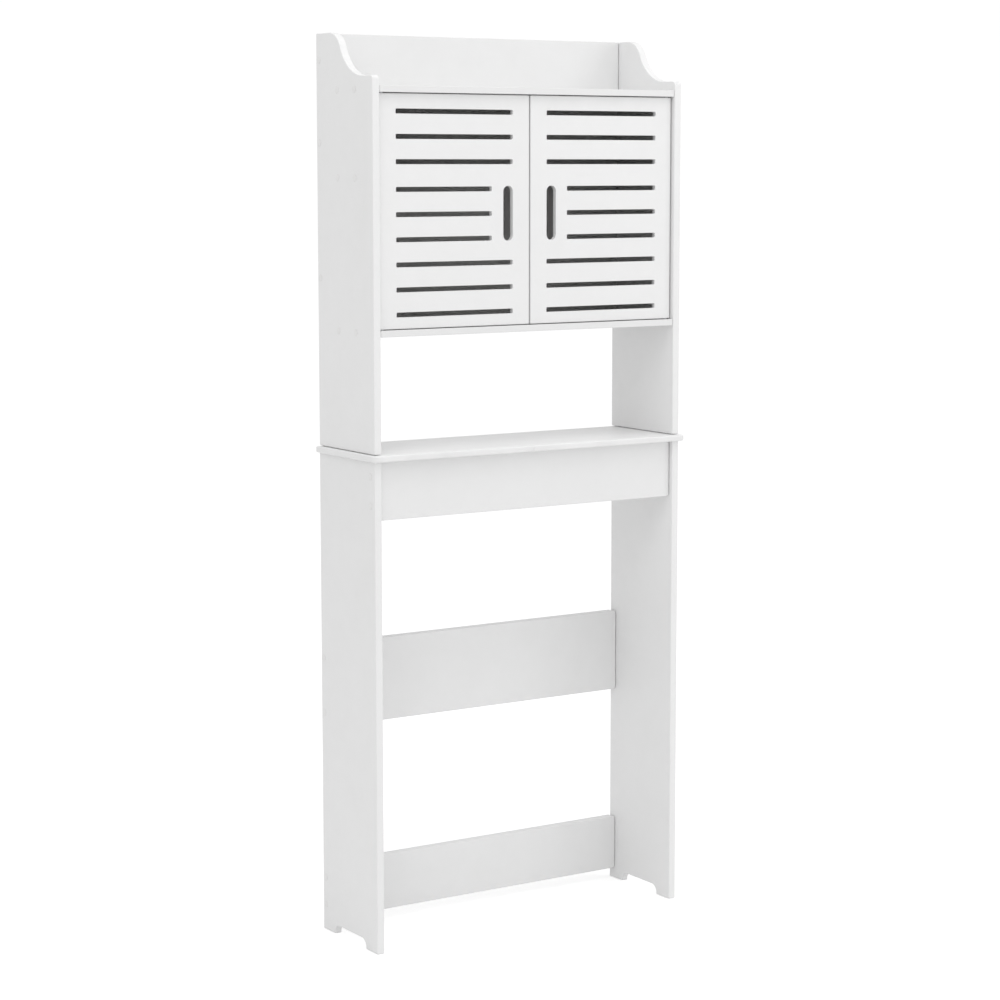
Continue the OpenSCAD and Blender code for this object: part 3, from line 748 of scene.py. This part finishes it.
def steel(name, grain):
    """Zinc-plated steel with drawing lines along one way, and finger marks."""
    marks_size, marks_dull = 60.0, 0.12
    bright, tarnished = (0.66, 0.67, 0.69, 1), (0.52, 0.53, 0.54, 1)
    made, tree, shader = new_material(name, Metallic=1.0, Specular_IOR_Level=0.5)
    metal = use_group(
        tree, DRAWN, Colour=bright, Tarnish=tarnished, Roughness=0.24, Grain=grain
    )
    mask = use_group(tree, MARKS, Size=marks_size)["Mask"]
    dull = maths(tree, "MULTIPLY_ADD", mask, marks_dull, metal["Roughness"])
    finish = bump(tree, metal["Height"], strength=0.3, distance=0.02 * MM)
    tree.links.new(metal["Colour"], shader.inputs["Base Color"])
    tree.links.new(dull, shader.inputs["Roughness"])
    tree.links.new(finish, shader.inputs["Normal"])
    return made


def plastic(name, colour):
    """Moulded plastic with the fine spark-eroded grain of its mould."""
    drift_shade, grain_size, drift_size = 0.96, 1900.0, 30.0
    made, tree, shader = new_material(name, Specular_IOR_Level=0.45)
    film = use_group(
        tree, FILM, Colour=colour, Shade=times(colour, drift_shade), Edge=colour, Roughness=0.46,
        Peel_Size=grain_size, Drift_Size=drift_size,
    )
    finish = bump(tree, film["Height"], strength=0.5, distance=0.04 * MM)
    tree.links.new(film["Colour"], shader.inputs["Base Color"])
    tree.links.new(film["Roughness"], shader.inputs["Roughness"])
    tree.links.new(finish, shader.inputs["Normal"])
    return made


def beech(name):
    """Raw beech dowel: long pale grain along Z with darker flecks."""
    grain_scale, fleck_size = (900.0, 900.0, 60.0), 2.7
    pale, deep, dark = (0.68, 0.49, 0.31, 1), (0.52, 0.35, 0.2, 1), (0.36, 0.22, 0.12, 1)
    made, tree, shader = new_material(name, Specular_IOR_Level=0.3)
    along = stretched(tree, object_place(tree), grain_scale)
    grain = noise(tree, along, scale=1.0, detail=4.0, rough=0.6)
    fleck = spread(tree, noise(tree, along, fleck_size), (0.6, 0.68))
    wood = blend_colour(tree, fleck, blend_colour(tree, grain, pale, deep), dark)
    finish = bump(tree, grain, strength=0.5, distance=0.1 * MM)
    tree.links.new(wood, shader.inputs["Base Color"])
    tree.links.new(spread(tree, grain, (0.3, 0.7), (0.55, 0.72)), shader.inputs["Roughness"])
    tree.links.new(finish, shader.inputs["Normal"])
    return made


def ferrite(name):
    """Sintered ferrite: dull near-black with pale specks and fine pits."""
    pit_size, speck_size = 1500.0, 2600.0
    deep, plain = (0.05, 0.05, 0.055, 1), (0.1, 0.1, 0.105, 1)
    made, tree, shader = new_material(name, Specular_IOR_Level=0.55)
    where = object_place(tree)
    pits = noise(tree, where, pit_size, detail=4.0, rough=0.65)
    speck = spread(tree, noise(tree, where, speck_size, detail=1.0), (0.66, 0.72))
    tone = blend_colour(tree, speck, blend_colour(tree, pits, deep, plain), grey(0.3))
    finish = bump(tree, pits, strength=0.6, distance=0.05 * MM)
    tree.links.new(tone, shader.inputs["Base Color"])
    tree.links.new(spread(tree, pits, (0.3, 0.7), (0.42, 0.65)), shader.inputs["Roughness"])
    tree.links.new(finish, shader.inputs["Normal"])
    return made


# One white lacquer in lit and shaded copies. The counter shelf's grey is painted lighter, and the
# rails' and level boards' greys are painted darker, to stand in for how the light falls on them.
# The shelf's and level boards' lower edge values paint shade on their rounded edges.
panel_lacquer = lacquer("panel_lacquer", grey(0.815), rough=0.42, edge=1.0)
shelf_painted_light_lacquer = lacquer("shelf_painted_light_lacquer", grey(0.86), rough=0.36, drift=3.0, marks=1.3, edge=0.89)
door_lacquer = lacquer("door_lacquer", grey(0.82), rough=0.40, drift=2.6)
rail_painted_shade_lacquer = lacquer("rail_painted_shade_lacquer", grey(0.805), rough=0.44, drift=3.4)
level_painted_shade_lacquer = lacquer("level_board_painted_shade_lacquer", grey(0.79), rough=0.44, marks=1.3, edge=0.96)
# The back's darker grey is painted shade: it darkens the cabinet's inside as seen through the door
# slots.
back_painted_shade_lacquer = lacquer(
    "back_board_painted_shade_lacquer", grey(0.71, warm=0.004), rough=0.52, drift=1.6, marks=0.6
)
plated_steel = steel("plated_steel", grain=(80.0, 80.0, 2400.0))
turned_steel = steel("turned_steel", grain=(2400.0, 600.0, 600.0))
cap_plastic = plastic("cap_plastic", grey(0.80, warm=0.004))
fitting_plastic = plastic("fitting_plastic", grey(0.78, warm=0.006))
dowel_beech = beech("dowel_beech")
magnet_ferrite = ferrite("magnet_ferrite")


def paint(obj, material):
    """Gives an object its one material."""
    obj.data.materials.clear()
    obj.data.materials.append(material)


# ---- the rack ----

for name in ("lower_left_side_panel", "lower_right_side_panel"):
    paint(lower_side_panel(name), panel_lacquer)
for name in ("upper_left_side_panel", "upper_right_side_panel"):
    paint(upper_side_panel(name), panel_lacquer)
paint(counter_shelf("counter_shelf"), shelf_painted_light_lacquer)
for name in ("bottom_back_rail", "middle_back_rail", "top_back_rail", "front_apron"):
    paint(plain_board(name, 1, RAIL_EDGE, RAIL_CORNER_R, OPEN_GAP), rail_painted_shade_lacquer)
for name in ("cabinet_floor_board", "cabinet_inner_shelf", "cabinet_top_board"):
    piece = plain_board(name, 2, LEVEL_EDGE, LEVEL_CORNER_R, BUTT_GAP)
    paint(piece, level_painted_shade_lacquer)
paint(back_board("cabinet_back_board", "cabinet_top_board"), back_painted_shade_lacquer)
paint(door("left_door", -1), door_lacquer)
paint(door("right_door", 1), door_lacquer)

paint(cover_caps("screw_cover_caps"), cap_plastic)
paint(corner_brackets("corner_brackets"), plated_steel)
for side in ("left", "right"):
    plate = strike_plate(side + "_strike_plate", side + "_strike_screw")
    paint(plate, plated_steel)

# The fittings whose CAD shape is right keep it, and get their material
KEPT_FITTINGS = (
    ("lower_side_screws", plated_steel), ("upper_side_screws", plated_steel),
    ("shelf_screws", plated_steel), ("bracket_screws", plated_steel),
    ("catch_screws", plated_steel), ("left_strike_screw", plated_steel),
    ("right_strike_screw", plated_steel), ("left_pivot_pins", turned_steel),
    ("right_pivot_pins", turned_steel), ("pivot_bushes", cap_plastic),
    ("catch_housings", fitting_plastic), ("wooden_dowels", dowel_beech),
    ("catch_magnets", magnet_ferrite),
)
for name, material in KEPT_FITTINGS:
    paint(frame["nodes"][name], material)


# ---- floor, light and camera ----

def make_floor():
    """A plain pale floor, far wider than the view."""
    verts = np.array([(-1, -1, 0), (1, -1, 0), (1, 1, 0), (-1, 1, 0)]) * FLOOR_REACH
    obj = make_mesh("pale_floor", verts, [(0, 1, 2, 3)])
    made, tree, shader = new_material(
        "pale_floor", Specular_IOR_Level=0.2, Roughness=0.9, Emission_Color=WHITE
    )
    drift = noise(tree, object_place(tree), scale=3.0)
    tone = blend_colour(tree, drift, grey(0.95), grey(0.93))
    tree.links.new(tone, shader.inputs["Base Color"])
    seen = add_node(tree, "LightPath").outputs["Is Camera Ray"]
    tree.links.new(maths(tree, "MULTIPLY", seen, FLOOR_LIFT), shader.inputs["Emission Strength"])
    obj.data.materials.append(made)


def soft_box(name, place, aim, width, power):
    """A square area light at a place, turned to an aim."""
    data = bpy.data.lights.new(name, "AREA")
    data.shape = "RECTANGLE"
    data.size, data.size_y = width, width
    data.energy = power
    obj = bpy.data.objects.new(name, data)
    obj.location = place
    obj.rotation_euler = (Vector(aim) - Vector(place)).to_track_quat("-Z", "Y").to_euler()
    bpy.context.scene.collection.objects.link(obj)


def make_world(strength, seen):
    """An even white room: one strength lights the rack, another is what the camera sees."""
    world = bpy.data.worlds.new("white_room")
    bpy.context.scene.world = world
    world.use_nodes = True
    tree = world.node_tree
    sky = tree.nodes["Background"]
    ray = add_node(tree, "LightPath").outputs["Is Camera Ray"]
    level = maths(tree, "MULTIPLY_ADD", ray, seen - strength, strength)
    tree.links.new(level, sky.inputs["Strength"])
    sky.inputs["Color"].default_value = WHITE


def make_camera():
    """The camera stands before the rack and to its left, level with the cabinet, and looks
    slightly down through a long lens. It looks along (sine of the turn times cosine of the tilt,
    cosine of the turn times cosine of the tilt, less the sine of the tilt)."""
    yaw = math.radians(CAMERA_YAW)
    pitch = math.radians(CAMERA_PITCH)
    data = bpy.data.cameras.new("camera")
    data.lens = CAMERA_LENS
    data.sensor_width = CAMERA_SENSOR
    data.shift_x, data.shift_y = CAMERA_SHIFT
    data.clip_end = CAMERA_REACH
    obj = bpy.data.objects.new("camera", data)
    obj.location = CAMERA_PLACE
    across, ahead = math.sin(yaw) * math.cos(pitch), math.cos(yaw) * math.cos(pitch)
    look = Vector((across, ahead, -math.sin(pitch)))
    obj.rotation_euler = look.to_track_quat("-Z", "Y").to_euler()
    bpy.context.scene.collection.objects.link(obj)
    bpy.context.scene.camera = obj


make_floor()
make_world(ROOM_LIGHT, ROOM_SEEN)
for name, place, width, power in SOFT_BOXES:
    soft_box(name, place, RACK_MIDDLE, width, power)
make_camera()
bpy.context.scene.view_settings.view_transform = "Standard"
